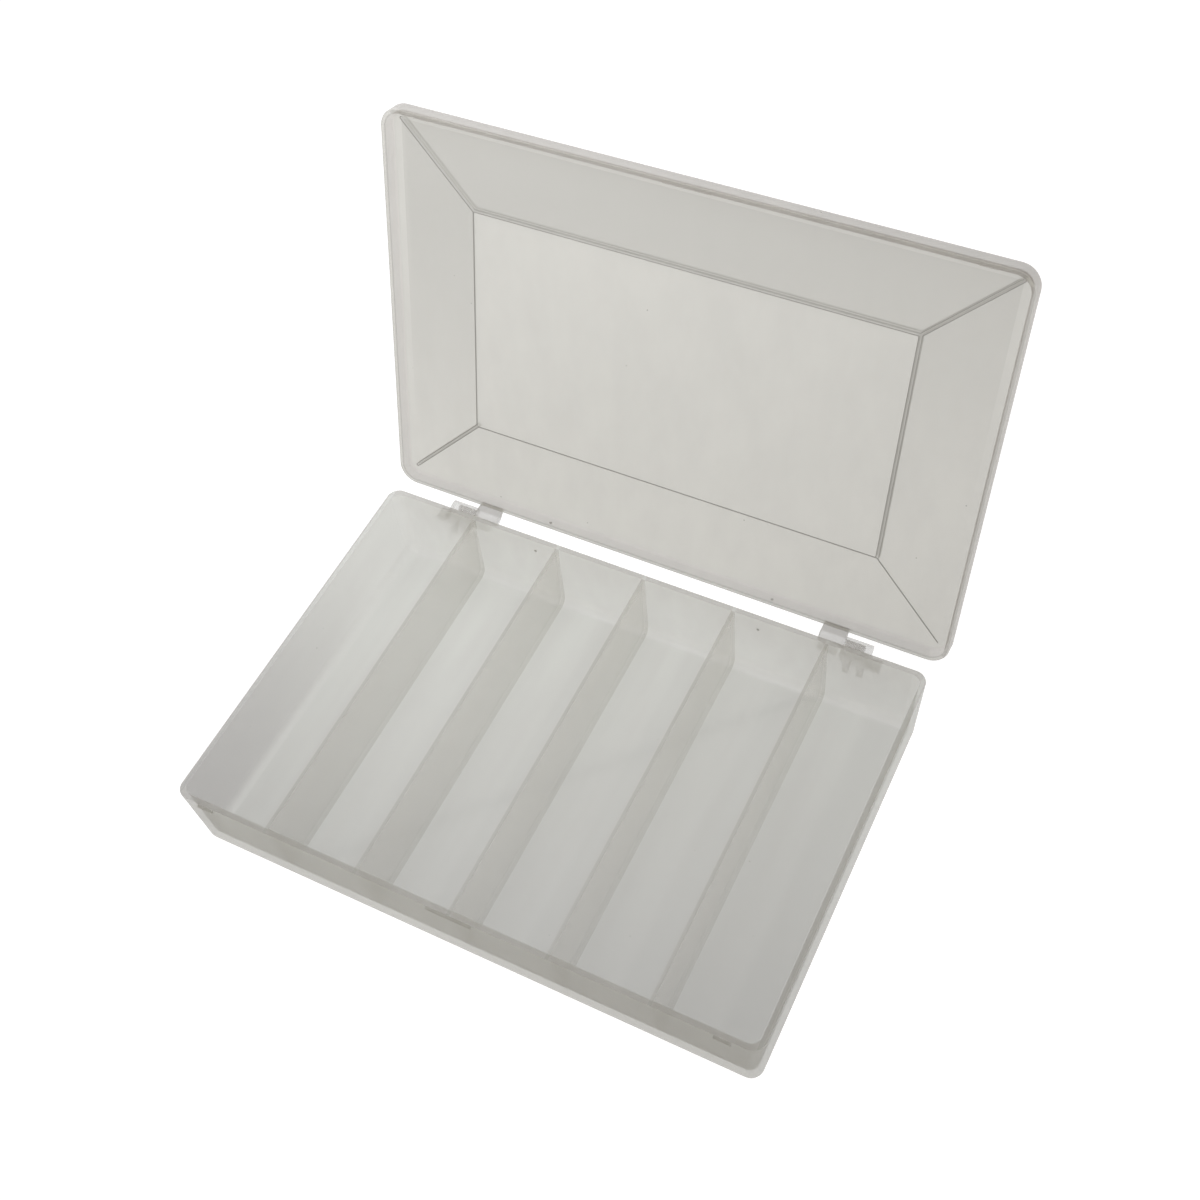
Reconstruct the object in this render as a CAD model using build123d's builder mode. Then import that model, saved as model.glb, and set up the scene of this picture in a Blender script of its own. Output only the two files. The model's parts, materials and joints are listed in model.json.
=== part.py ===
"""Shallow compartment storage box in frosted plastic, with its hinged lid standing open.

Millimetres, +Z up, +Y towards the hinges.  The origin is the middle of the tray's underside.
The lid is drawn closed, and then turned about the hinge axis to where its heels stop it.
"""
import os
from math import cos, radians, sin, tan

from build123d import *

# Tray, measured outside at the rim
tray_width = 210.0
tray_depth = 142.0
tray_height = 32.0
wall_thickness = 1.8
floor_thickness = 1.8
wall_draft = 2.7
tray_corner_radius = 4.5
tray_underside_radius = 3.6
cavity_corner_radius = 3.6
cavity_floor_radius = 3.4

# Dividers, which taper towards the rim
divider_count = 5
divider_top_thickness = 1.2
divider_foot_thickness = 1.8

# Catch ridges under the front rim, each as its middle along X and its length
catch_protrusion = 0.7
catch_height = 1.8
catch_drop = 0.5
middle_catch_length = 16.0
side_catch_length = 5.6
side_catch_inset = 12.2

# Lid
lid_overhang = 2.8
lid_wall_thickness = 1.6
lid_corner_radius = 7.0
lid_skirt_depth = 4.6
lid_top_thickness = 1.8
lid_top_edge_radius = 1.5
lid_rim_clearance = 0.3
lid_open_angle = 105.0

# Hipped top of the lid: a flat panel inside four very shallow slopes
hip_foot_inset = 5.0
panel_inset = 31.0
hip_rise_outside = 0.4
hip_rise_inside = 0.6

# Hinges
hinge_axis_behind_rim = 5.5
hinge_axis_below_rim = 6.6
barrel_radius = 2.2
pin_radius = 1.2
pin_running_clearance = 0.05
pin_length = 7.0
hinge_side_gap = 0.3
arm_inset = 41.0
arm_length = 9.0
arm_neck_length = 2.0
arm_neck_height = 2.2
knuckle_length = 9.7
knuckle_wall_top_below_rim = 5.7
knuckle_wall_foot_below_rim = 9.6
bore_end_gap = 0.4

# Shelf and gussets that carry each knuckle
shelf_length = 14.2
shelf_reach = 4.4
shelf_thickness = 1.4
gusset_thickness = 2.2
gusset_reach = 3.4
gusset_foot_below_rim = 15.0
gusset_offsets = (1.4, 6.5)

# Heel that stops the open lid against the rear wall
heel_thickness = 1.6
heel_stop_gap = 0.15
heel_end_margin = 1.0

# Depth to which a foot is sunk into the wall before the wall's shape is cut from it
sink = 1.0

# Places that follow from the sizes above
rear_y = tray_depth / 2
hinge_y = rear_y + hinge_axis_behind_rim
hinge_z = tray_height - hinge_axis_below_rim
hinge_axis = Axis((0, hinge_y, hinge_z), (1, 0, 0))
lid_rim_z = tray_height + lid_rim_clearance - lid_skirt_depth
lid_width = tray_width + 2 * lid_overhang
lid_depth = tray_depth + 2 * lid_overhang
lid_rear_y = lid_depth / 2
arm_x = tray_width / 2 - arm_inset
knuckle_x = arm_x + arm_length + hinge_side_gap
cavity_depth = tray_height - floor_thickness

os.makedirs("parts", exist_ok=True)


def save(shape, name):
    """Writes one sub-part to its own file."""
    shape.label = name
    export_step(shape, "parts/" + name + ".step")


def drafted_block(width, depth, height, corner_radius, lower_radius):
    """A block that hangs from the rim plane, narrows downwards and has round lower edges."""
    with BuildPart() as block:
        with BuildSketch(Plane((0, 0, tray_height), x_dir=(1, 0, 0), z_dir=(0, 0, -1))):
            Rectangle(width, depth)
        extrude(amount=height, taper=wall_draft)
        sloping_edges = block.edges().filter_by(Axis.X, reverse=True).filter_by(Axis.Y, reverse=True)
        fillet(sloping_edges, corner_radius)
        fillet(block.faces().sort_by(Axis.Z)[0].edges(), lower_radius)
    return block.part


def lid_block(inset, height, edge_radius):
    """A round-cornered plate on the lid's rim plane, its upper edge rounded."""
    with BuildPart() as block:
        with BuildSketch(Plane.XY.offset(lid_rim_z)):
            RectangleRounded(lid_width - 2 * inset, lid_depth - 2 * inset, lid_corner_radius - inset)
        extrude(amount=height)
        fillet(block.faces().sort_by(Axis.Z)[-1].edges(), edge_radius)
    return block.part


def hipped_top(foot_z, rise):
    """The four shallow slopes and the flat panel that they meet."""
    with BuildPart() as top:
        with BuildSketch(Plane.XY.offset(foot_z)):
            Rectangle(lid_width - 2 * hip_foot_inset, lid_depth - 2 * hip_foot_inset)
        with BuildSketch(Plane.XY.offset(foot_z + rise)):
            Rectangle(lid_width - 2 * panel_inset, lid_depth - 2 * panel_inset)
        loft(ruled=True)
    return top.part


def save_open(shape, name):
    """Turns a piece of the closed lid to the open stop, and writes it."""
    save(shape.rotate(hinge_axis, -lid_open_angle), name)


# Tray shell
tray_block = drafted_block(tray_width, tray_depth, tray_height, tray_corner_radius, tray_underside_radius)
tray_cavity = drafted_block(
    tray_width - 2 * wall_thickness,
    tray_depth - 2 * wall_thickness,
    cavity_depth,
    cavity_corner_radius,
    cavity_floor_radius,
)
side_catch_x = tray_width / 2 - side_catch_inset
catch_top_z = tray_height - catch_drop
catches = (
    (-side_catch_x, side_catch_length),
    (0.0, middle_catch_length),
    (side_catch_x, side_catch_length),
)

with BuildPart() as tray_shell:
    for catch_x, catch_length in catches:
        with BuildSketch(Plane.YZ.offset(catch_x)):
            with BuildLine():
                Polyline(
                    (-rear_y + sink, catch_top_z),
                    (-rear_y, catch_top_z),
                    (-rear_y - catch_protrusion, catch_top_z - 0.4 * catch_height),
                    (-rear_y - catch_protrusion, catch_top_z - 0.7 * catch_height),
                    (-rear_y, catch_top_z - catch_height),
                    (-rear_y + sink, catch_top_z - catch_height),
                    close=True,
                )
            make_face()
        extrude(amount=catch_length / 2, both=True)
    add(tray_block)
    add(tray_cavity, mode=Mode.SUBTRACT)
save(tray_shell.part, "tray_shell")

# Dividers, evenly spaced between the side walls
inner_width = tray_width - 2 * wall_thickness
clear_width = (inner_width - divider_count * divider_top_thickness) / (divider_count + 1)
divider_pitch = clear_width + divider_top_thickness

for index in range(divider_count):
    divider_x = (index - (divider_count - 1) / 2) * divider_pitch
    with BuildPart() as divider:
        with BuildSketch(Plane.XZ):
            with BuildLine():
                Polyline(
                    (divider_x - divider_foot_thickness / 2, 0),
                    (divider_x + divider_foot_thickness / 2, 0),
                    (divider_x + divider_top_thickness / 2, tray_height),
                    (divider_x - divider_top_thickness / 2, tray_height),
                    close=True,
                )
            make_face()
        extrude(amount=rear_y, both=True)
        add(tray_cavity, mode=Mode.INTERSECT)
    save(divider.part, "divider_" + str(index + 1))

# Hinge bracket on the rear wall: knuckle, shelf and gussets, drawn for the right-hand side
shelf_low_z = tray_height - knuckle_wall_foot_below_rim
gusset_foot_z = tray_height - gusset_foot_below_rim

with BuildPart() as hinge_bracket:
    with BuildSketch(Plane.YZ.offset(knuckle_x)):
        with BuildLine():
            CenterArc((hinge_y, hinge_z), barrel_radius, 0, 360)
            Line((rear_y - sink, shelf_low_z), (rear_y - sink, tray_height - knuckle_wall_top_below_rim))
        make_hull()
    extrude(amount=knuckle_length)
    with BuildSketch(Plane.XY.offset(shelf_low_z)):
        with Locations((knuckle_x + shelf_length / 2, rear_y + (shelf_reach - sink) / 2)):
            Rectangle(shelf_length, shelf_reach + sink)
    extrude(amount=shelf_thickness)
    for gusset_offset in gusset_offsets:
        with BuildSketch(Plane.YZ.offset(knuckle_x + gusset_offset)):
            with BuildLine():
                Polyline(
                    (rear_y - sink, shelf_low_z),
                    (rear_y + gusset_reach, shelf_low_z),
                    (rear_y, gusset_foot_z),
                    (rear_y - sink, gusset_foot_z),
                    close=True,
                )
            make_face()
        extrude(amount=gusset_thickness)
    with BuildSketch(Plane.YZ.offset(knuckle_x)):
        with Locations((hinge_y, hinge_z)):
            Circle(pin_radius + pin_running_clearance)
    extrude(amount=pin_length - hinge_side_gap + bore_end_gap, mode=Mode.SUBTRACT)
    add(tray_block, mode=Mode.SUBTRACT)
save(hinge_bracket.part, "hinge_bracket_right")
save(hinge_bracket.part.mirror(Plane.YZ), "hinge_bracket_left")

# Lid shell
lid_ceiling_z = lid_rim_z + lid_skirt_depth
lid_top_z = lid_ceiling_z + lid_top_thickness

with BuildPart() as lid_shell:
    add(lid_block(0, lid_skirt_depth + lid_top_thickness, lid_top_edge_radius))
    add(hipped_top(lid_top_z, hip_rise_outside))
    add(lid_block(lid_wall_thickness, lid_skirt_depth, lid_top_edge_radius), mode=Mode.SUBTRACT)
    add(hipped_top(lid_ceiling_z, hip_rise_inside), mode=Mode.SUBTRACT)
save_open(lid_shell.part, "lid_shell")

# Hinge arm of the lid: barrel, two necks with a slot between them, pin and heel, for the right-hand side
neck_starts = (arm_x, arm_x + arm_length - arm_neck_length)
wall_y_at_hinge = rear_y - hinge_axis_below_rim * tan(radians(wall_draft))
heel_length = hinge_y - wall_y_at_hinge - heel_stop_gap
open_turn = radians(lid_open_angle)
heel_along = Vector(-cos(open_turn), -sin(open_turn))
heel_across = Vector(-heel_along.Y, heel_along.X) * (heel_thickness / 2)
hinge_centre = Vector(hinge_y, hinge_z)
heel_tip = hinge_centre + heel_along * heel_length

with BuildPart() as hinge_arm:
    with BuildSketch(Plane.YZ.offset(arm_x)):
        with Locations((hinge_y, hinge_z)):
            Circle(barrel_radius)
    extrude(amount=arm_length)
    for neck_x in neck_starts:
        with BuildSketch(Plane.YZ.offset(neck_x)):
            with BuildLine():
                CenterArc((hinge_y, hinge_z), barrel_radius, 0, 360)
                Line((lid_rear_y, lid_rim_z), (lid_rear_y, lid_rim_z + arm_neck_height))
            make_hull()
        extrude(amount=arm_neck_length)
    with BuildSketch(Plane.YZ.offset(arm_x + heel_end_margin)):
        with BuildLine():
            Polyline(
                hinge_centre + heel_across,
                heel_tip + heel_across,
                heel_tip - heel_across,
                hinge_centre - heel_across,
                close=True,
            )
        make_face()
    extrude(amount=arm_length - 2 * heel_end_margin)
    with BuildSketch(Plane.YZ.offset(arm_x + arm_length)):
        with Locations((hinge_y, hinge_z)):
            Circle(pin_radius)
    extrude(amount=pin_length)
save_open(hinge_arm.part, "hinge_arm_right")
save_open(hinge_arm.part.mirror(Plane.YZ), "hinge_arm_left")
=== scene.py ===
"""Looks of the compartment storage box: frosted natural polypropylene on a plain white ground."""

import json
from math import cos, hypot, radians, sin, tan

import bmesh
import bpy
from mathutils import Matrix, Quaternion, Vector


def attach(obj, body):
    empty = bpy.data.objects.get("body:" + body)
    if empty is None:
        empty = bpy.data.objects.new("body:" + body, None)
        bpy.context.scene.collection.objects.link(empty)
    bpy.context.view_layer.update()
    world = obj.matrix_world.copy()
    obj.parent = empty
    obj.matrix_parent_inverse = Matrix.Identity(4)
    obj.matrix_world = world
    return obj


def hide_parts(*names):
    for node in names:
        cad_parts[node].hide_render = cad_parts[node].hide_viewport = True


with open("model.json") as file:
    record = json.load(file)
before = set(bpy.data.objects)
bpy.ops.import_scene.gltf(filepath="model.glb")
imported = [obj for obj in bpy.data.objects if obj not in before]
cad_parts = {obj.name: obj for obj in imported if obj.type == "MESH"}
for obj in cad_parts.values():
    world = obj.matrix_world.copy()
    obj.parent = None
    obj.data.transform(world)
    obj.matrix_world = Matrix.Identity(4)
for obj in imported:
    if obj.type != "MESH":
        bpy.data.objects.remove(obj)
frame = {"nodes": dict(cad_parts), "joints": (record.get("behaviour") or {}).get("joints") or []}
bpy.ops.object.select_all(action="DESELECT")
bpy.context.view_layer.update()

MM = 0.001

# Tray, in millimetres and degrees as on the frame
TRAY_WIDTH = 210.0
TRAY_DEPTH = 142.0
TRAY_HEIGHT = 32.0
WALL = 1.8
WALL_DRAFT = 2.7
FLOOR = 1.8
DIVIDER_COUNT = 5
DIVIDER_PITCH = 34.6
DIVIDER_TOP = 1.2
# What lies above this height is the rim, or a divider's top edge
RIM_START = TRAY_HEIGHT - 0.1

# Lid, closed on the tray
LID_OVERHANG = 2.8
LID_WALL = 1.6
LID_CORNER = 7.0
LID_SKIRT = 4.6
LID_TOP = 1.8
LID_TOP_EDGE = 1.5
LID_CLEARANCE = 0.3
LID_WIDTH = TRAY_WIDTH + 2 * LID_OVERHANG
LID_DEPTH = TRAY_DEPTH + 2 * LID_OVERHANG
LID_RIM = TRAY_HEIGHT + LID_CLEARANCE - LID_SKIRT
LID_CEILING = LID_RIM + LID_SKIRT
LID_TOP_Z = LID_CEILING + LID_TOP
SKIRT_FILLET = 0.9
RIM_ROUNDING = 0.35

# Hipped top of the lid, with grooves along its creases; a weak crease is narrower, and grooved inside only
HIP_FOOT = 5.0
PANEL_INSET = 31.0
RISE_OUTSIDE = 0.4
RISE_INSIDE = 0.6
CREASE_WIDTH = 1.3
GROOVE_WALL = 0.25
GROOVE_DEPTH = 0.15
STRONG_CREASE = 1.0
WEAK_CREASE = 0.4

# Catch ridges of the lid, each with its middle along X and its length
CATCHES = (("left", -92.8, 5.6), ("middle", 0.0, 16.0), ("right", 92.8, 5.6))
CATCH_THICKNESS = 0.7
CATCH_HEIGHT = 1.3
CATCH_ABOVE_RIM = 1.0
CATCH_ROUNDING = 0.3

# Hinge arms, on the lid
ARM_X = 64.0
ARM_LENGTH = 9.0
ARM_NECK_HEIGHT = 2.2
ARM_ROUNDING = 0.3
BARREL_RADIUS = 2.2
PIN_RADIUS = 1.2
PIN_LENGTH = 7.0
PIN_SINK = 0.5
HEEL_THICKNESS = 1.6
HEEL_GAP = 0.15
HEEL_END_MARGIN = 1.0
# Above this height the hinges are seen over the rear wall, and look denser
HINGE_TOP = 24.5

# Moulding pips, whose middles lie a little inside the wall that carries them
PIP_X = 44.0
PIP_Z = 26.5
PIP_ABOVE_LID_RIM = 1.6
PIP_RADIUS = 0.5
PIP_LENGTH = 0.5
PIP_STEP = 0.15
PIP_SINK = 0.1

# Patterns of the plastic
STREAK_SPACING = 9.0
SPECK_SPACING = 6.0
SPECK_CORE = 0.2
SPECK_EDGE = 0.3
GRAIN_SIZE = 0.5
GRAIN_DEPTH = 0.02
GRAIN_STRENGTH = 0.12

# Order of the lid's materials
LID_FACE, GROOVE_FLOOR, GROOVE_SIDE, RIM_FACE, SKIRT_FACE, SLOPE_FACE = range(6)

# The hinge's place in metres, and how far the open lid stands from closed
lid_joint = frame["joints"][0]
HINGE = Vector(lid_joint["pos_m"])
OPEN_ANGLE = radians(max(lid_joint["range_deg"]))


def linear(hex_colour):
    """The linear colour that an sRGB hex value stands for."""
    channels = [int(hex_colour[i:i + 2], 16) / 255 for i in (1, 3, 5)]
    curve = [c / 12.92 if c <= 0.04045 else ((c + 0.055) / 1.055) ** 2.4 for c in channels]
    return (*curve, 1.0)


def add_node(tree, kind, inputs=(), **settings):
    """Adds a node, sets its options, and fills or links its inputs by name or number."""
    node = tree.nodes.new(kind)
    for name, value in settings.items():
        setattr(node, name, value)
    for key, value in dict(inputs).items():
        if isinstance(value, bpy.types.NodeSocket):
            tree.links.new(value, node.inputs[key])
        else:
            node.inputs[key].default_value = value
    return node


def new_material(name):
    """An empty node material, its tree and its output node."""
    material = bpy.data.materials.new(name)
    material.use_nodes = True
    material.node_tree.nodes.clear()
    output = add_node(material.node_tree, "ShaderNodeOutputMaterial")
    return material, material.node_tree, output


def flow_and_specks(tree, place, tone, streak_tone):
    """The colour of the moulded melt, with soft flow streaks and a few specks."""
    # The melt flows in soft streaks, drawn out along the compartments
    drawn_out = add_node(tree, "ShaderNodeMapping", {"Vector": place, "Scale": (1.0, 0.12, 0.5)})
    streaks = add_node(
        tree, "ShaderNodeTexNoise",
        {"Vector": drawn_out.outputs["Vector"], "Scale": 1 / (STREAK_SPACING * MM), "Detail": 2.0},
    )
    streak_share = add_node(
        tree, "ShaderNodeMapRange", {"Value": streaks.outputs["Fac"], "From Min": 0.3, "From Max": 0.7})
    flow = add_node(
        tree, "ShaderNodeMix",
        {"Factor": streak_share.outputs["Result"], "A": linear(tone), "B": linear(streak_tone)},
        data_type="RGBA",
    )
    # One cell in five holds a speck of regrind, about 0.5 mm across
    grains = add_node(
        tree, "ShaderNodeTexVoronoi", {"Vector": place, "Scale": 1 / (SPECK_SPACING * MM)})
    near_grain = add_node(
        tree, "ShaderNodeMapRange",
        {"Value": grains.outputs["Distance"], "From Min": SPECK_CORE / SPECK_SPACING,
         "From Max": SPECK_EDGE / SPECK_SPACING, "To Min": 1.0, "To Max": 0.0},
    )
    chance = add_node(tree, "ShaderNodeSeparateColor", {"Color": grains.outputs["Color"]})
    rare = add_node(tree, "ShaderNodeMath", {0: chance.outputs["Red"], 1: 0.8}, operation="GREATER_THAN")
    speck = add_node(
        tree, "ShaderNodeMath", {0: near_grain.outputs["Result"], 1: rare.outputs["Value"]},
        operation="MULTIPLY",
    )
    tint = add_node(
        tree, "ShaderNodeMix",
        {"Factor": speck.outputs["Value"], "A": flow.outputs["Result"], "B": linear("#85837D")},
        data_type="RGBA",
    )
    return tint.outputs["Result"]


def changed_where(tree, factor, colour, clear_part, other_tone, other_share):
    """The colour and the clear share, changed to others where the factor is 1."""
    tint = add_node(
        tree, "ShaderNodeMix", {"Factor": factor, "A": colour, "B": linear(other_tone)}, data_type="RGBA")
    share = add_node(
        tree, "ShaderNodeMix", {"Factor": factor, "A": clear_part, "B": other_share}, data_type="FLOAT")
    return tint.outputs["Result"], share.outputs["Result"]


def shaded_towards(tree, place, way, near, far, colour, clear_part, shade_tone, shade_share):
    """The colour and the clear share of plastic with painted shade, darker and less clear along a way, from
    near to far in mm.
    """
    along = add_node(tree, "ShaderNodeVectorMath", {0: place, 1: way}, operation="DOT_PRODUCT")
    part = add_node(
        tree, "ShaderNodeMapRange",
        {"Value": along.outputs["Value"], "From Min": near * MM, "From Max": far * MM},
    )
    return changed_where(tree, part.outputs["Result"], colour, clear_part, shade_tone, shade_share)


def above_height(tree, place, height, colour, clear_part, upper_tone, upper_share):
    """The colour and the clear share, changed above a height in millimetres."""
    height_of = add_node(tree, "ShaderNodeSeparateXYZ", {"Vector": place}).outputs["Z"]
    above = add_node(tree, "ShaderNodeMath", {0: height_of, 1: height * MM}, operation="GREATER_THAN")
    return changed_where(tree, above.outputs["Value"], colour, clear_part, upper_tone, upper_share)


def satin_skin(tree, place, output, colour, clear_part, grain_strength=GRAIN_STRENGTH):
    """Half satin surface, half glow from within, and partly clear, as a thin frosted wall looks."""
    # Spark-eroded mould texture, drawn coarser than the real one so that it shows
    grain = add_node(
        tree, "ShaderNodeTexNoise", {"Vector": place, "Scale": 1 / (GRAIN_SIZE * MM), "Detail": 2.0})
    relief = add_node(
        tree, "ShaderNodeBump",
        {"Height": grain.outputs["Fac"], "Strength": grain_strength, "Distance": GRAIN_DEPTH * MM},
    )
    skin = add_node(
        tree, "ShaderNodeBsdfPrincipled",
        {"Base Color": colour, "Roughness": 0.33, "IOR": 1.49, "Normal": relief.outputs["Normal"]},
    )
    glow = add_node(tree, "ShaderNodeBsdfTranslucent", {"Color": colour})
    body = add_node(
        tree, "ShaderNodeMixShader", {"Fac": 0.5, 1: skin.outputs["BSDF"], 2: glow.outputs["BSDF"]})
    clear = add_node(tree, "ShaderNodeBsdfTransparent")
    final = add_node(
        tree, "ShaderNodeMixShader",
        {"Fac": clear_part, 1: body.outputs["Shader"], 2: clear.outputs["BSDF"]},
    )
    tree.links.new(final.outputs["Shader"], output.inputs["Surface"])


def moulded_polypropylene(
        name, tone, streak_tone, clear_share, painted_shade=None, upper=None, grain_strength=GRAIN_STRENGTH):
    """Natural polypropylene, injection moulded with a fine satin texture.

    Light goes through it scattered, so it glows evenly and shows only near things behind it.
    """
    material, tree, output = new_material(name)
    place = add_node(tree, "ShaderNodeTexCoord").outputs["Object"]
    colour = flow_and_specks(tree, place, tone, streak_tone)
    clear_part = clear_share
    # Painted shade, if asked for: the plastic is drawn darker and less clear along a way
    if painted_shade:
        way, near, far, shade_tone, shade_share = painted_shade
        colour, clear_part = shaded_towards(
            tree, place, way, near, far, colour, clear_part, shade_tone, shade_share)
    if upper:
        height, upper_tone, upper_share = upper
        colour, clear_part = above_height(
            tree, place, height, colour, clear_part, upper_tone, upper_share)
    satin_skin(tree, place, output, colour, clear_part, grain_strength)
    return material


def tray_polypropylene():
    """The tray's polypropylene: its rim shows how deep the wall is, and its walls and floor carry painted
    shade and a painted highlight.
    """
    material, tree, output = new_material("moulded_polypropylene_tray")
    place = add_node(tree, "ShaderNodeTexCoord").outputs["Object"]
    parts = add_node(tree, "ShaderNodeSeparateXYZ", {"Vector": place}).outputs
    colour = flow_and_specks(tree, place, "#DCDDD6", "#D5D5CE")
    clear_part = 0.55

    # Painted shade: the plastic is drawn a little darker and less clear from the rear left corner to the
    # front right one
    colour, clear_part = shaded_towards(
        tree, place, (0.35, -0.9, 0.0), -60, 80, colour, clear_part, "#BFBEB7", 0.515)
    # Painted shade: the left wall is drawn darker and less clear than the floor, more so towards the front
    left = add_node(
        tree, "ShaderNodeMapRange",
        {"Value": parts["X"], "From Min": -100.5 * MM, "From Max": -102 * MM},
    )
    forward = add_node(
        tree, "ShaderNodeMapRange", {"Value": parts["Y"], "From Min": 40 * MM, "From Max": -60 * MM})
    left = add_node(
        tree, "ShaderNodeMath", {0: left.outputs["Result"], 1: forward.outputs["Result"]},
        operation="MULTIPLY",
    )
    colour, clear_part = changed_where(
        tree, left.outputs["Value"], colour, clear_part, "#B2B0AB", 0.5)

    # The phase runs from 0 to 1 across each compartment, from one divider's middle to the next one's
    phase = add_node(
        tree, "ShaderNodeMath", {0: parts["X"], 1: 1 / (DIVIDER_PITCH * MM), 2: 10.0},
        operation="MULTIPLY_ADD",
    )
    phase = add_node(tree, "ShaderNodeMath", {0: phase.outputs["Value"]}, operation="FRACT")
    # Painted shade: each compartment's floor is drawn darker and less clear in a soft band along its right
    # half
    painted_shade_band = add_node(
        tree, "ShaderNodeMapRange",
        {"Value": phase.outputs["Value"], "From Min": 0.42, "From Max": 0.56, "To Max": 0.11},
        interpolation_type="SMOOTHSTEP",
    )
    low = add_node(tree, "ShaderNodeMath", {0: parts["Z"], 1: 2 * MM}, operation="LESS_THAN")
    painted_shade_band = add_node(
        tree, "ShaderNodeMath", {0: painted_shade_band.outputs["Result"], 1: low.outputs["Value"]},
        operation="MULTIPLY",
    )
    colour, clear_part = changed_where(
        tree, painted_shade_band.outputs["Value"], colour, clear_part, "#9A9993", 0.45)

    # Painted highlight: the rounded feet of the walls, the lowest 5 mm, are drawn a little lighter and
    # clearer than the flat floor and underside
    foot = add_node(
        tree, "ShaderNodeMapRange",
        {"Value": parts["Z"], "From Min": 0.0, "From Max": 5 * MM, "To Min": 0.28, "To Max": 0.0},
        interpolation_type="SMOOTHSTEP",
    )
    flat_floor = add_node(
        tree, "ShaderNodeMath", {0: parts["Z"], 1: FLOOR * MM, 2: 0.03 * MM}, operation="COMPARE")
    underside = add_node(
        tree, "ShaderNodeMath", {0: parts["Z"], 1: 0.05 * MM}, operation="LESS_THAN")
    foot = add_node(
        tree, "ShaderNodeMath", {0: foot.outputs["Result"], 1: flat_floor.outputs["Value"]},
        operation="SUBTRACT",
    )
    foot = add_node(
        tree, "ShaderNodeMath", {0: foot.outputs["Value"], 1: underside.outputs["Value"]},
        operation="SUBTRACT", use_clamp=True,
    )
    colour, clear_part = changed_where(
        tree, foot.outputs["Value"], colour, clear_part, "#DEDDD8", 0.62)

    # Seen end on, the wall is deep, so its rim lets less light through, but not where a divider joins it
    rim = add_node(
        tree, "ShaderNodeMath", {0: parts["Z"], 1: RIM_START * MM}, operation="GREATER_THAN")
    beside = add_node(
        tree, "ShaderNodeMath", {0: phase.outputs["Value"], 1: 0.5}, operation="SUBTRACT")
    beside = add_node(tree, "ShaderNodeMath", {0: beside.outputs["Value"]}, operation="ABSOLUTE")
    joined = add_node(
        tree, "ShaderNodeMath",
        {0: beside.outputs["Value"], 1: 0.5 - DIVIDER_TOP / 2 / DIVIDER_PITCH},
        operation="GREATER_THAN",
    )
    rim = add_node(
        tree, "ShaderNodeMath", {0: rim.outputs["Value"], 1: joined.outputs["Value"]},
        operation="SUBTRACT", use_clamp=True,
    )
    colour, clear_part = changed_where(
        tree, rim.outputs["Value"], colour, clear_part, "#C6C3BD", 0.47)
    satin_skin(tree, place, output, colour, clear_part)
    return material


def dress(name, material):
    """Gives a CAD node one material in place of its plain ones."""
    for slot in frame["nodes"][name].material_slots:
        slot.material = material


def seen_directly(tree):
    """1 for a ray from the camera, off a glossy face or through the plastic, and 0 for any other."""
    rays = add_node(tree, "ShaderNodeLightPath").outputs
    seen = add_node(
        tree, "ShaderNodeMath", {0: rays["Is Camera Ray"], 1: rays["Is Glossy Ray"]},
        operation="MAXIMUM",
    )
    seen = add_node(
        tree, "ShaderNodeMath", {0: seen.outputs["Value"], 1: rays["Is Transmission Ray"]},
        operation="MAXIMUM",
    )
    return seen.outputs["Value"]


def plain_floor():
    """A wide white floor just under the tray, which keeps a soft shadow."""
    width, gap = 30.0, 0.2 * MM
    bpy.ops.mesh.primitive_plane_add(size=width, location=(0, 0, -gap))
    floor = bpy.context.object
    floor.name = "floor"
    material, tree, output = new_material("white_floor")
    seen = seen_directly(tree)
    strength = add_node(tree, "ShaderNodeMath", {0: seen, 1: 0.93}, operation="MULTIPLY")
    tone = add_node(
        tree, "ShaderNodeMix", {"Factor": seen, "A": linear("#F2F2F0"), "B": linear("#959595")},
        data_type="RGBA",
    )
    paint = add_node(tree, "ShaderNodeBsdfDiffuse", {"Color": tone.outputs["Result"]})
    white = add_node(
        tree, "ShaderNodeEmission",
        {"Color": linear("#FFFFFF"), "Strength": strength.outputs["Value"]},
    )
    both = add_node(
        tree, "ShaderNodeAddShader", {0: paint.outputs["BSDF"], 1: white.outputs["Emission"]})
    tree.links.new(both.outputs["Shader"], output.inputs["Surface"])
    floor.data.materials.append(material)


def white_surround(bright_way, bright, dim):
    """A pale soft room, brighter on one side, which looks plain white to the camera."""
    world = bpy.data.worlds.new("white_surround")
    bpy.context.scene.world = world
    world.use_nodes = True
    tree = world.node_tree
    tree.nodes.clear()
    output = add_node(tree, "ShaderNodeOutputWorld")
    way = add_node(tree, "ShaderNodeTexCoord").outputs["Generated"]
    toward = add_node(
        tree, "ShaderNodeVectorMath", {0: way, 1: Vector(bright_way).normalized()},
        operation="DOT_PRODUCT",
    )
    strength = add_node(
        tree, "ShaderNodeMapRange",
        {"Value": toward.outputs["Value"], "From Min": 0.0, "From Max": 1.0,
         "To Min": dim, "To Max": bright},
    )
    room = add_node(
        tree, "ShaderNodeBackground",
        {"Color": linear("#FFF5EA"), "Strength": strength.outputs["Result"]},
    )
    white = add_node(tree, "ShaderNodeBackground", {"Color": linear("#FFFFFF"), "Strength": 1.0})
    mix = add_node(
        tree, "ShaderNodeMixShader",
        {"Fac": seen_directly(tree), 1: room.outputs["Background"], 2: white.outputs["Background"]},
    )
    tree.links.new(mix.outputs["Shader"], output.inputs["Surface"])


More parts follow.
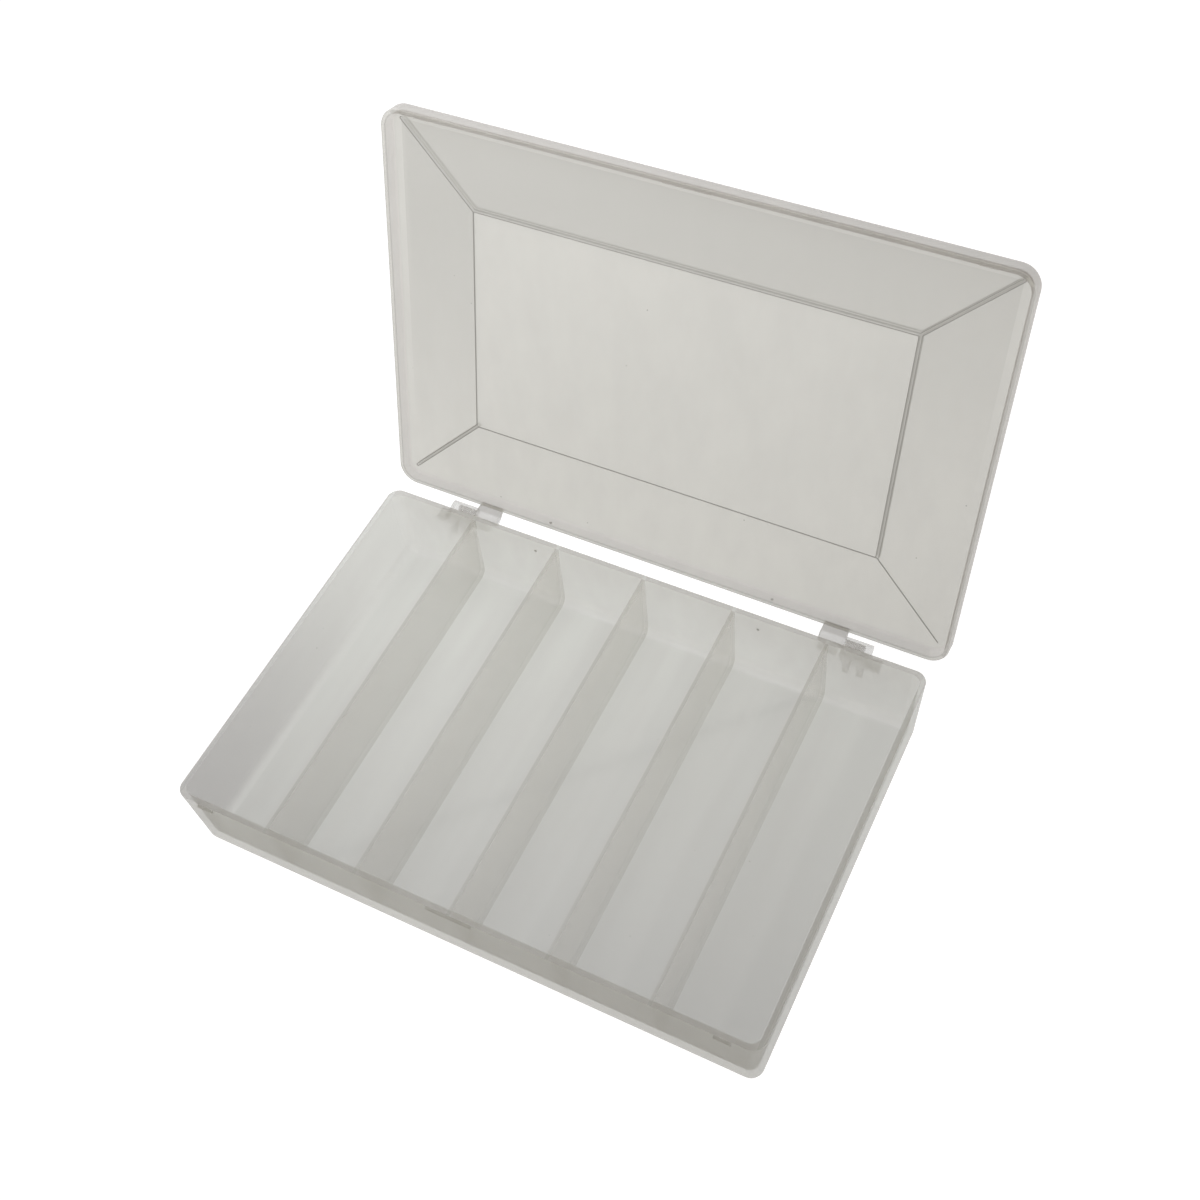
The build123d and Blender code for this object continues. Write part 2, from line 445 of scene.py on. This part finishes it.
def soft_lamp(name, place, target, size, power):
    """A square soft lamp that points at the target; lengths in metres and power in watts."""
    data = bpy.data.lights.new(name, "AREA")
    data.shape = "SQUARE"
    data.size = size
    data.energy = power
    data.color = linear("#F4F8FF")[:3]
    lamp = bpy.data.objects.new(name, data)
    bpy.context.scene.collection.objects.link(lamp)
    lamp.location = place
    lamp.rotation_mode = "QUATERNION"
    lamp.rotation_quaternion = (Vector(target) - Vector(place)).to_track_quat("-Z", "Y")


def photo_camera():
    """The camera that sees the box nearest to how the photograph shows it."""
    place = Vector((166.0, -215.3, 476.4)) * MM
    target = Vector((-6.2, 49.1, 42.0)) * MM
    roll = Quaternion((0, 0, 1), radians(-8.0))
    data = bpy.data.cameras.new("camera")
    data.lens = 46.92
    data.sensor_width = 36.0
    data.clip_start = 0.01
    camera = bpy.data.objects.new("camera", data)
    bpy.context.scene.collection.objects.link(camera)
    camera.location = place
    camera.rotation_mode = "QUATERNION"
    camera.rotation_quaternion = (target - place).to_track_quat("-Z", "Y") @ roll
    bpy.context.scene.camera = camera


def edit(piece):
    """The piece's mesh in edit mode, with nothing selected."""
    if piece.mode != "EDIT":
        bpy.ops.object.mode_set(mode="EDIT")
    bpy.ops.mesh.select_all(action="DESELECT")
    return bmesh.from_edit_mesh(piece.data)


def pick_faces(piece, test):
    """Selects the faces that pass the test."""
    mesh = edit(piece)
    bpy.ops.mesh.select_mode(type="FACE")
    for face in mesh.faces:
        if test(face):
            face.select_set(True)
    bmesh.update_edit_mesh(piece.data)


def pick_edges(piece, test):
    """Selects the edges that pass the test."""
    mesh = edit(piece)
    bpy.ops.mesh.select_mode(type="EDGE")
    chosen = [edge for edge in mesh.edges if test(edge)]
    for edge in chosen:
        edge.select_set(True)
    bmesh.update_edit_mesh(piece.data)


def at_height(z, height):
    """Whether a place in metres lies at a height in millimetres."""
    return abs(z - height * MM) < 0.01 * MM


def level(edge, height):
    """Whether an edge lies at a height in millimetres."""
    return all(at_height(v.co.z, height) for v in edge.verts)


def start_piece(name, *plastics):
    """Names the new primitive, puts its place and size into its mesh, and gives it its plastics."""
    piece = bpy.context.object
    piece.name = name
    bpy.ops.object.transform_apply(location=True, rotation=True, scale=True)
    for plastic in plastics:
        piece.data.materials.append(plastic)
    return piece


def swing_open(piece):
    """Turns a piece of the closed lid about the hinge to its open stop, with its place in its mesh."""
    turn = Matrix.Translation(HINGE) @ Matrix.Rotation(-OPEN_ANGLE, 4, "X") @ Matrix.Translation(-HINGE)
    bpy.ops.object.select_all(action="DESELECT")
    piece.select_set(True)
    bpy.context.view_layer.objects.active = piece
    piece.matrix_world = turn
    bpy.ops.object.transform_apply(location=True, rotation=True, scale=True)
    piece.select_set(False)


def hip_and_panel(piece, foot, rise, faces_down):
    """Closes one side of the lid's plate with four shallow slopes and a flat panel."""
    # Only the plate's own two faces are larger than this, in square metres
    plate_area = 0.02
    pick_faces(piece, lambda f: abs(f.normal.z) > 0.99 and f.calc_area() > plate_area
               and at_height(f.calc_center_median().z, foot))
    bpy.ops.mesh.delete(type="ONLY_FACE")
    foot_width, foot_depth = LID_WIDTH - 2 * HIP_FOOT, LID_DEPTH - 2 * HIP_FOOT
    middle = (0, 0, foot * MM)
    bpy.ops.mesh.primitive_plane_add(size=foot_width * MM, location=middle)
    bpy.ops.transform.resize(value=(1, foot_depth / foot_width, 1), center_override=middle)
    if faces_down:
        bpy.ops.mesh.flip_normals()
    bpy.ops.mesh.inset(thickness=(PANEL_INSET - HIP_FOOT) * MM)
    bpy.ops.transform.translate(value=(0, 0, rise * MM))
    pick_edges(piece, lambda e: e.is_boundary and level(e, foot))
    bpy.ops.mesh.bridge_edge_loops()


def crease_weight(edge, foot, rise):
    """How strongly a hip or an edge of the panel shows, 0 for any other edge."""
    heights = sorted(round(v.co.z / MM, 3) for v in edge.verts)
    if heights[1] != round(foot + rise, 3) or edge.calc_length() < 10 * MM:
        return 0.0
    middle = (edge.verts[0].co + edge.verts[1].co) / 2
    if heights[0] == heights[1]:
        # Edges of the panel: the front and right ones are strong
        return STRONG_CREASE if middle.y < -1 * MM or middle.x > 1 * MM else WEAK_CREASE
    # Hips: all but the rear right one are strong
    return WEAK_CREASE if middle.x > 0 and middle.y > 0 else STRONG_CREASE


def lid_shape(plastics):
    """The closed lid's rounded plate and skirt, with hips and a panel on both sides."""
    bpy.ops.mesh.primitive_cube_add(
        size=1.0, location=(0, 0, (LID_RIM + LID_TOP_Z) / 2 * MM),
        scale=(LID_WIDTH * MM, LID_DEPTH * MM, (LID_TOP_Z - LID_RIM) * MM))
    lid = start_piece("hipped_lid", *plastics)

    pick_edges(lid, lambda e: abs(e.verts[0].co.z - e.verts[1].co.z) > 1 * MM)
    bpy.ops.mesh.bevel(offset=LID_CORNER * MM, segments=12, affect="EDGES")
    pick_edges(lid, lambda e: level(e, LID_TOP_Z))
    bpy.ops.mesh.bevel(offset=LID_TOP_EDGE * MM, segments=6, affect="EDGES")
    pick_faces(lid, lambda f: f.normal.z < -0.99)
    bpy.ops.mesh.inset(thickness=LID_WALL * MM)
    bpy.ops.mesh.extrude_region_move(TRANSFORM_OT_translate={"value": (0, 0, LID_SKIRT * MM)})
    pick_edges(lid, lambda e: level(e, LID_CEILING))
    bpy.ops.mesh.bevel(offset=SKIRT_FILLET * MM, segments=4, affect="EDGES")
    pick_edges(lid, lambda e: level(e, LID_RIM)
               and sum(1 for f in e.link_faces if abs(f.normal.z) > 0.9) == 1)
    bpy.ops.mesh.bevel(offset=RIM_ROUNDING * MM, segments=2, affect="EDGES")

    hip_and_panel(lid, LID_TOP_Z, RISE_OUTSIDE, faces_down=False)
    hip_and_panel(lid, LID_CEILING, RISE_INSIDE, faces_down=True)
    bpy.ops.mesh.select_all(action="SELECT")
    bpy.ops.mesh.remove_doubles(threshold=0.001 * MM)
    bpy.ops.mesh.normals_make_consistent(inside=False)
    return lid


def groove_creases(lid):
    """Cuts a shallow groove along each hip and each edge of the panel, and returns the grooves' floors."""
    mesh = edit(lid)
    layers = mesh.edges.layers.float
    weights = layers.get("bevel_weight_edge") or layers.new("bevel_weight_edge")
    for edge in mesh.edges:
        outside = crease_weight(edge, LID_TOP_Z, RISE_OUTSIDE)
        inside = crease_weight(edge, LID_CEILING, RISE_INSIDE)
        edge[weights] = max(outside if outside > WEAK_CREASE else 0.0, inside)
    bmesh.update_edit_mesh(lid.data)
    bpy.ops.object.mode_set(mode="OBJECT")
    creases = lid.modifiers.new("creases", "BEVEL")
    creases.limit_method = "WEIGHT"
    creases.offset_type = "WIDTH"
    creases.width = CREASE_WIDTH * MM
    creases.segments = 1
    creases.material = GROOVE_FLOOR
    bpy.ops.object.modifier_apply(modifier=creases.name)

    pick_faces(lid, lambda f: f.material_index == GROOVE_FLOOR)
    bpy.ops.mesh.inset(thickness=GROOVE_WALL * MM, depth=-GROOVE_DEPTH * MM)
    return [face.index for face in bmesh.from_edit_mesh(lid.data).faces if face.select]


def inset_from_outline(x, y):
    """How far a place lies inside the closed lid's round-cornered outline, in millimetres."""
    past_x = abs(x) - (LID_WIDTH / 2 - LID_CORNER)
    past_y = abs(y) - (LID_DEPTH / 2 - LID_CORNER)
    if past_x > 0 and past_y > 0:
        return LID_CORNER - hypot(past_x, past_y)
    return LID_CORNER - max(past_x, past_y)


def plain_face_kind(face, middle):
    """Which plastic a face of the lid outside the grooves takes; the middle is in millimetres."""
    inset = inset_from_outline(middle.x, middle.y)
    skirt_band = LID_WALL + 0.2
    front_or_right = middle.y < skirt_band - LID_DEPTH / 2 or middle.x > LID_WIDTH / 2 - skirt_band
    if front_or_right:
        dark_rim = inset > RIM_ROUNDING
    else:
        dark_rim = inset < RIM_ROUNDING or LID_WALL - RIM_ROUNDING < inset < LID_WALL
    if middle.z < LID_RIM + 0.4 and dark_rim:
        return RIM_FACE
    if abs(face.normal.z) < 0.9 and (front_or_right or inset > LID_WALL - 0.1):
        return SKIRT_FACE
    if 0.99 < abs(face.normal.z) < 0.9999:
        return SLOPE_FACE
    return LID_FACE


def modelled_lid(plastics):
    """The lid, modelled closed and then swung open: skirt, hips, panel and grooved creases."""
    lid = lid_shape(plastics)
    groove_floors = groove_creases(lid)
    mesh = edit(lid)
    for face in mesh.faces:
        if face.material_index == LID_FACE:
            face.material_index = plain_face_kind(face, face.calc_center_median() / MM)
        elif face.index not in groove_floors:
            face.material_index = GROOVE_SIDE
    bmesh.update_edit_mesh(lid.data)
    bpy.ops.object.mode_set(mode="OBJECT")
    bpy.ops.object.shade_smooth_by_angle(angle=radians(35))
    pick_faces(lid, lambda f: abs(f.normal.z) > 0.99 or f.material_index in (GROOVE_FLOOR, GROOVE_SIDE))
    bpy.ops.mesh.faces_shade_flat()
    bpy.ops.object.mode_set(mode="OBJECT")
    swing_open(lid)
    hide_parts("lid_shell")
    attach(lid, "lid")


def catch_ridge(place_name, middle_x, length, plastic):
    """A low ridge inside the lid's front skirt, which snaps under a catch of the tray."""
    wall_y = -LID_DEPTH / 2 + LID_WALL
    bpy.ops.mesh.primitive_cube_add(
        size=1.0, location=(middle_x * MM, wall_y * MM, (LID_RIM + CATCH_ABOVE_RIM) * MM),
        scale=(length * MM, CATCH_THICKNESS * MM, CATCH_HEIGHT * MM))
    ridge = start_piece("lid_catch_" + place_name, plastic)
    pick_edges(ridge, lambda e: all(v.co.y > wall_y * MM for v in e.verts)
               and abs(e.verts[0].co.x - e.verts[1].co.x) > 1 * MM)
    bpy.ops.mesh.bevel(offset=CATCH_ROUNDING * MM, segments=4, affect="EDGES")
    pick_faces(ridge, lambda f: abs(f.normal.x) > 0.9)
    bpy.ops.mesh.inset(thickness=0.1 * MM)
    bpy.ops.object.mode_set(mode="OBJECT")
    bpy.ops.object.shade_smooth_by_angle(angle=radians(35))
    swing_open(ridge)
    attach(ridge, "lid")


def join_solid(body, other):
    """Joins another closed solid to the body, and removes the other."""
    join = body.modifiers.new("join", "BOOLEAN")
    join.operation = "UNION"
    join.solver = "EXACT"
    join.object = other
    bpy.ops.object.select_all(action="DESELECT")
    body.select_set(True)
    bpy.context.view_layer.objects.active = body
    bpy.ops.object.modifier_apply(modifier=join.name)
    bpy.data.objects.remove(other)


def barrel_and_neck(name, middle_x):
    """The arm's barrel, drawn out to the skirt of the closed lid."""
    bpy.ops.mesh.primitive_cylinder_add(
        vertices=36, radius=BARREL_RADIUS * MM, depth=ARM_LENGTH * MM,
        location=(middle_x, HINGE.y, HINGE.z), rotation=(0, radians(90), 0))
    arm = start_piece(name)
    edit(arm)
    # The neck ends 0.1 mm inside the skirt
    root = Vector((middle_x, (LID_DEPTH / 2 - 0.1) * MM, (LID_RIM + ARM_NECK_HEIGHT / 2) * MM))
    bpy.ops.mesh.primitive_plane_add(size=ARM_LENGTH * MM, location=root, rotation=(radians(90), 0, 0))
    bpy.ops.transform.resize(value=(1, 1, ARM_NECK_HEIGHT / ARM_LENGTH), center_override=root)
    bpy.ops.mesh.select_all(action="SELECT")
    bpy.ops.mesh.convex_hull()
    bpy.ops.mesh.select_all(action="SELECT")
    bpy.ops.mesh.dissolve_limited(angle_limit=radians(1))
    bpy.ops.object.mode_set(mode="OBJECT")
    return arm


def hinged_arm(side_name, side, plastic, clear_plastic):
    """An arm of the lid, modelled closed, with its stub pin and its heel in clearer plastic."""
    middle_x = side * (ARM_X + ARM_LENGTH / 2) * MM
    arm = barrel_and_neck("hinged_arm_" + side_name, middle_x)

    # The heel reaches the rear wall of the tray when the lid is open
    wall_y = TRAY_DEPTH / 2 - (TRAY_HEIGHT - HINGE.z / MM) * tan(radians(WALL_DRAFT))
    heel_length = HINGE.y - (wall_y + HEEL_GAP) * MM
    heel_way = Vector((0, -cos(OPEN_ANGLE), -sin(OPEN_ANGLE)))
    heel_width = ARM_LENGTH - 2 * HEEL_END_MARGIN
    bpy.ops.mesh.primitive_cube_add(
        size=1.0, location=Vector((middle_x, HINGE.y, HINGE.z)) + heel_way * heel_length / 2,
        rotation=(OPEN_ANGLE - radians(90), 0, 0),
        scale=(heel_width * MM, HEEL_THICKNESS * MM, heel_length))
    join_solid(arm, bpy.context.object)
    pin_x = ARM_X + ARM_LENGTH + (PIN_LENGTH - PIN_SINK) / 2
    bpy.ops.mesh.primitive_cylinder_add(
        vertices=24, radius=PIN_RADIUS * MM, depth=(PIN_LENGTH + PIN_SINK) * MM,
        location=(side * pin_x * MM, HINGE.y, HINGE.z), rotation=(0, radians(90), 0))
    join_solid(arm, bpy.context.object)

    rounding = arm.modifiers.new("rounding", "BEVEL")
    rounding.limit_method = "ANGLE"
    rounding.angle_limit = radians(50)
    rounding.width = ARM_ROUNDING * MM
    rounding.segments = 3
    bpy.ops.object.modifier_apply(modifier=rounding.name)

    arm.data.materials.clear()
    arm.data.materials.append(plastic)
    arm.data.materials.append(clear_plastic)
    pin_start = (ARM_X + ARM_LENGTH + 0.1) * MM
    heel_start = HINGE.z - (BARREL_RADIUS + 0.3) * MM
    pick_faces(arm, lambda f: side * f.calc_center_median().x > pin_start
               or f.calc_center_median().z < heel_start)
    arm.active_material_index = 1
    bpy.ops.object.material_slot_assign()
    bpy.ops.object.mode_set(mode="OBJECT")
    bpy.ops.object.shade_smooth_by_angle(angle=radians(40))
    swing_open(arm)
    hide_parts("hinge_arm_" + side_name)
    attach(arm, "lid")


def moulded_pip(name, place, tilt, plastic):
    """A domed pip 1 mm across, left by a pin of the mould; tilt turns its axis from +Z about X."""
    bpy.ops.mesh.primitive_cylinder_add(
        vertices=20, radius=PIP_RADIUS * MM, depth=PIP_LENGTH * MM,
        location=Vector(place) * MM, rotation=(tilt, 0, 0))
    pip = start_piece(name, plastic)
    along = Matrix.Rotation(tilt, 3, "X") @ Vector((0, 0, 1))
    pick_faces(pip, lambda f: f.normal.dot(along) > 0.9)
    bpy.ops.mesh.inset(thickness=PIP_STEP * MM)
    bpy.ops.transform.translate(value=along * 0.1 * MM)
    pick_faces(pip, lambda f: f.normal.dot(along) > 0.99)
    bpy.ops.mesh.inset(thickness=PIP_STEP * MM)
    bpy.ops.transform.translate(value=along * 0.05 * MM)
    bpy.ops.object.mode_set(mode="OBJECT")
    bpy.ops.object.shade_smooth_by_angle(angle=radians(60))
    return pip


def pips(side_name, side, plastic):
    """One pip on the tray's rear wall and one on the lid's rear skirt."""
    wall_y = TRAY_DEPTH / 2 - WALL - (TRAY_HEIGHT - PIP_Z) * tan(radians(WALL_DRAFT))
    wall_pip = moulded_pip(
        "wall_pip_" + side_name, (side * PIP_X, wall_y + PIP_SINK, PIP_Z),
        radians(90 + WALL_DRAFT), plastic)
    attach(wall_pip, "tray")
    skirt_y = LID_DEPTH / 2 - LID_WALL
    skirt_pip = moulded_pip(
        "skirt_pip_" + side_name, (side * PIP_X, skirt_y + PIP_SINK, LID_RIM + PIP_ABOVE_LID_RIM),
        radians(90), plastic)
    swing_open(skirt_pip)
    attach(skirt_pip, "lid")


# All of these are one natural polypropylene: the thicker it is where it is seen, the darker and less clear,
# and some of them also carry painted shade or a painted highlight

# Pale greenish white walls and floor, which show soft shapes behind them
tray_plastic = tray_polypropylene()
# Thin ribs that hide little of what is behind them, with denser top edges, and painted shade that makes them
# a little darker towards the front right
divider_plastic = moulded_polypropylene(
    "moulded_polypropylene_divider", "#ECEBE2", "#E7E6DD", 0.78,
    painted_shade=((0.3, -1.0, 0.0), -50, 80, "#E6E4DE", 0.775), upper=(RIM_START, "#D4D2CC", 0.64),
    grain_strength=0.03)
# Brackets and arms, clear behind the wall and denser where they stand clear of it
hinge_plastic = moulded_polypropylene(
    "moulded_polypropylene_hinge", "#E3E0DC", "#DDDAD6", 0.75, upper=(HINGE_TOP, "#D6D4CF", 0.68))
arm_plastic = moulded_polypropylene(
    "moulded_polypropylene_arm", "#E3E0DC", "#DDDAD6", 0.8, upper=(HINGE_TOP, "#C4C1BC", 0.51))
# The lid's middle panel, an even pale sheet, and its slopes, with painted shade that makes them darker and
# less clear towards the top of the open lid
lid_plastic = moulded_polypropylene("moulded_polypropylene_lid", "#D6D5CC", "#D1D0C7", 0.55)
slope_plastic = moulded_polypropylene(
    "moulded_polypropylene_slope", "#D6D5CC", "#D0CFC6", 0.545,
    painted_shade=((-0.25, 0.0, 1.0), 60, 160, "#C2C1B8", 0.52))
# Grooves show as a grey line with two dark edges, where light is bent away
groove_plastic = moulded_polypropylene("moulded_polypropylene_groove", "#C2C1BA", "#BCBBB4", 0.4)
groove_side_plastic = moulded_polypropylene(
    "moulded_polypropylene_groove_wall", "#96958F", "#908F89", 0.15)
# The skirt's rim is seen end on, as a darker line, and the skirt beside it has a faint warm tone
rim_plastic = moulded_polypropylene("moulded_polypropylene_rim", "#B8B6B0", "#B2B0AA", 0.41)
skirt_plastic = moulded_polypropylene("moulded_polypropylene_skirt", "#D3CDC7", "#CDC7C1", 0.51)
# Small solid features within or behind other plastic, nearly clear
catch_plastic = moulded_polypropylene("moulded_polypropylene_catch", "#E8E6E1", "#E2E0DB", 0.82)
# Pips, which show as small grey dots
pip_plastic = moulded_polypropylene("moulded_polypropylene_pip", "#C2C0BA", "#BCBAB4", 0.6)

dress("tray_shell", tray_plastic)
for number in range(1, DIVIDER_COUNT + 1):
    dress("divider_%d" % number, divider_plastic)
modelled_lid(
    (lid_plastic, groove_plastic, groove_side_plastic, rim_plastic, skirt_plastic, slope_plastic))
for place_name, middle_x, length in CATCHES:
    catch_ridge(place_name, middle_x, length, catch_plastic)
for side_name, side in (("left", -1), ("right", 1)):
    dress("hinge_bracket_" + side_name, hinge_plastic)
    hinged_arm(side_name, side, arm_plastic, catch_plastic)
    pips(side_name, side, pip_plastic)

plain_floor()
white_surround(bright_way=(0, -1, 0), bright=1.05, dim=0.12)
lit_place = (0, 0.04, 0)
soft_lamp("window", place=(-0.36, 0.24, 0.38), target=lit_place, size=0.3, power=0.7)
soft_lamp("lamp_above", place=(-0.06, 0.03, 0.3), target=lit_place, size=0.16, power=0.28)
photo_camera()

scene = bpy.context.scene
scene.view_settings.view_transform = "Standard"
scene.cycles.transparent_max_bounces = 48
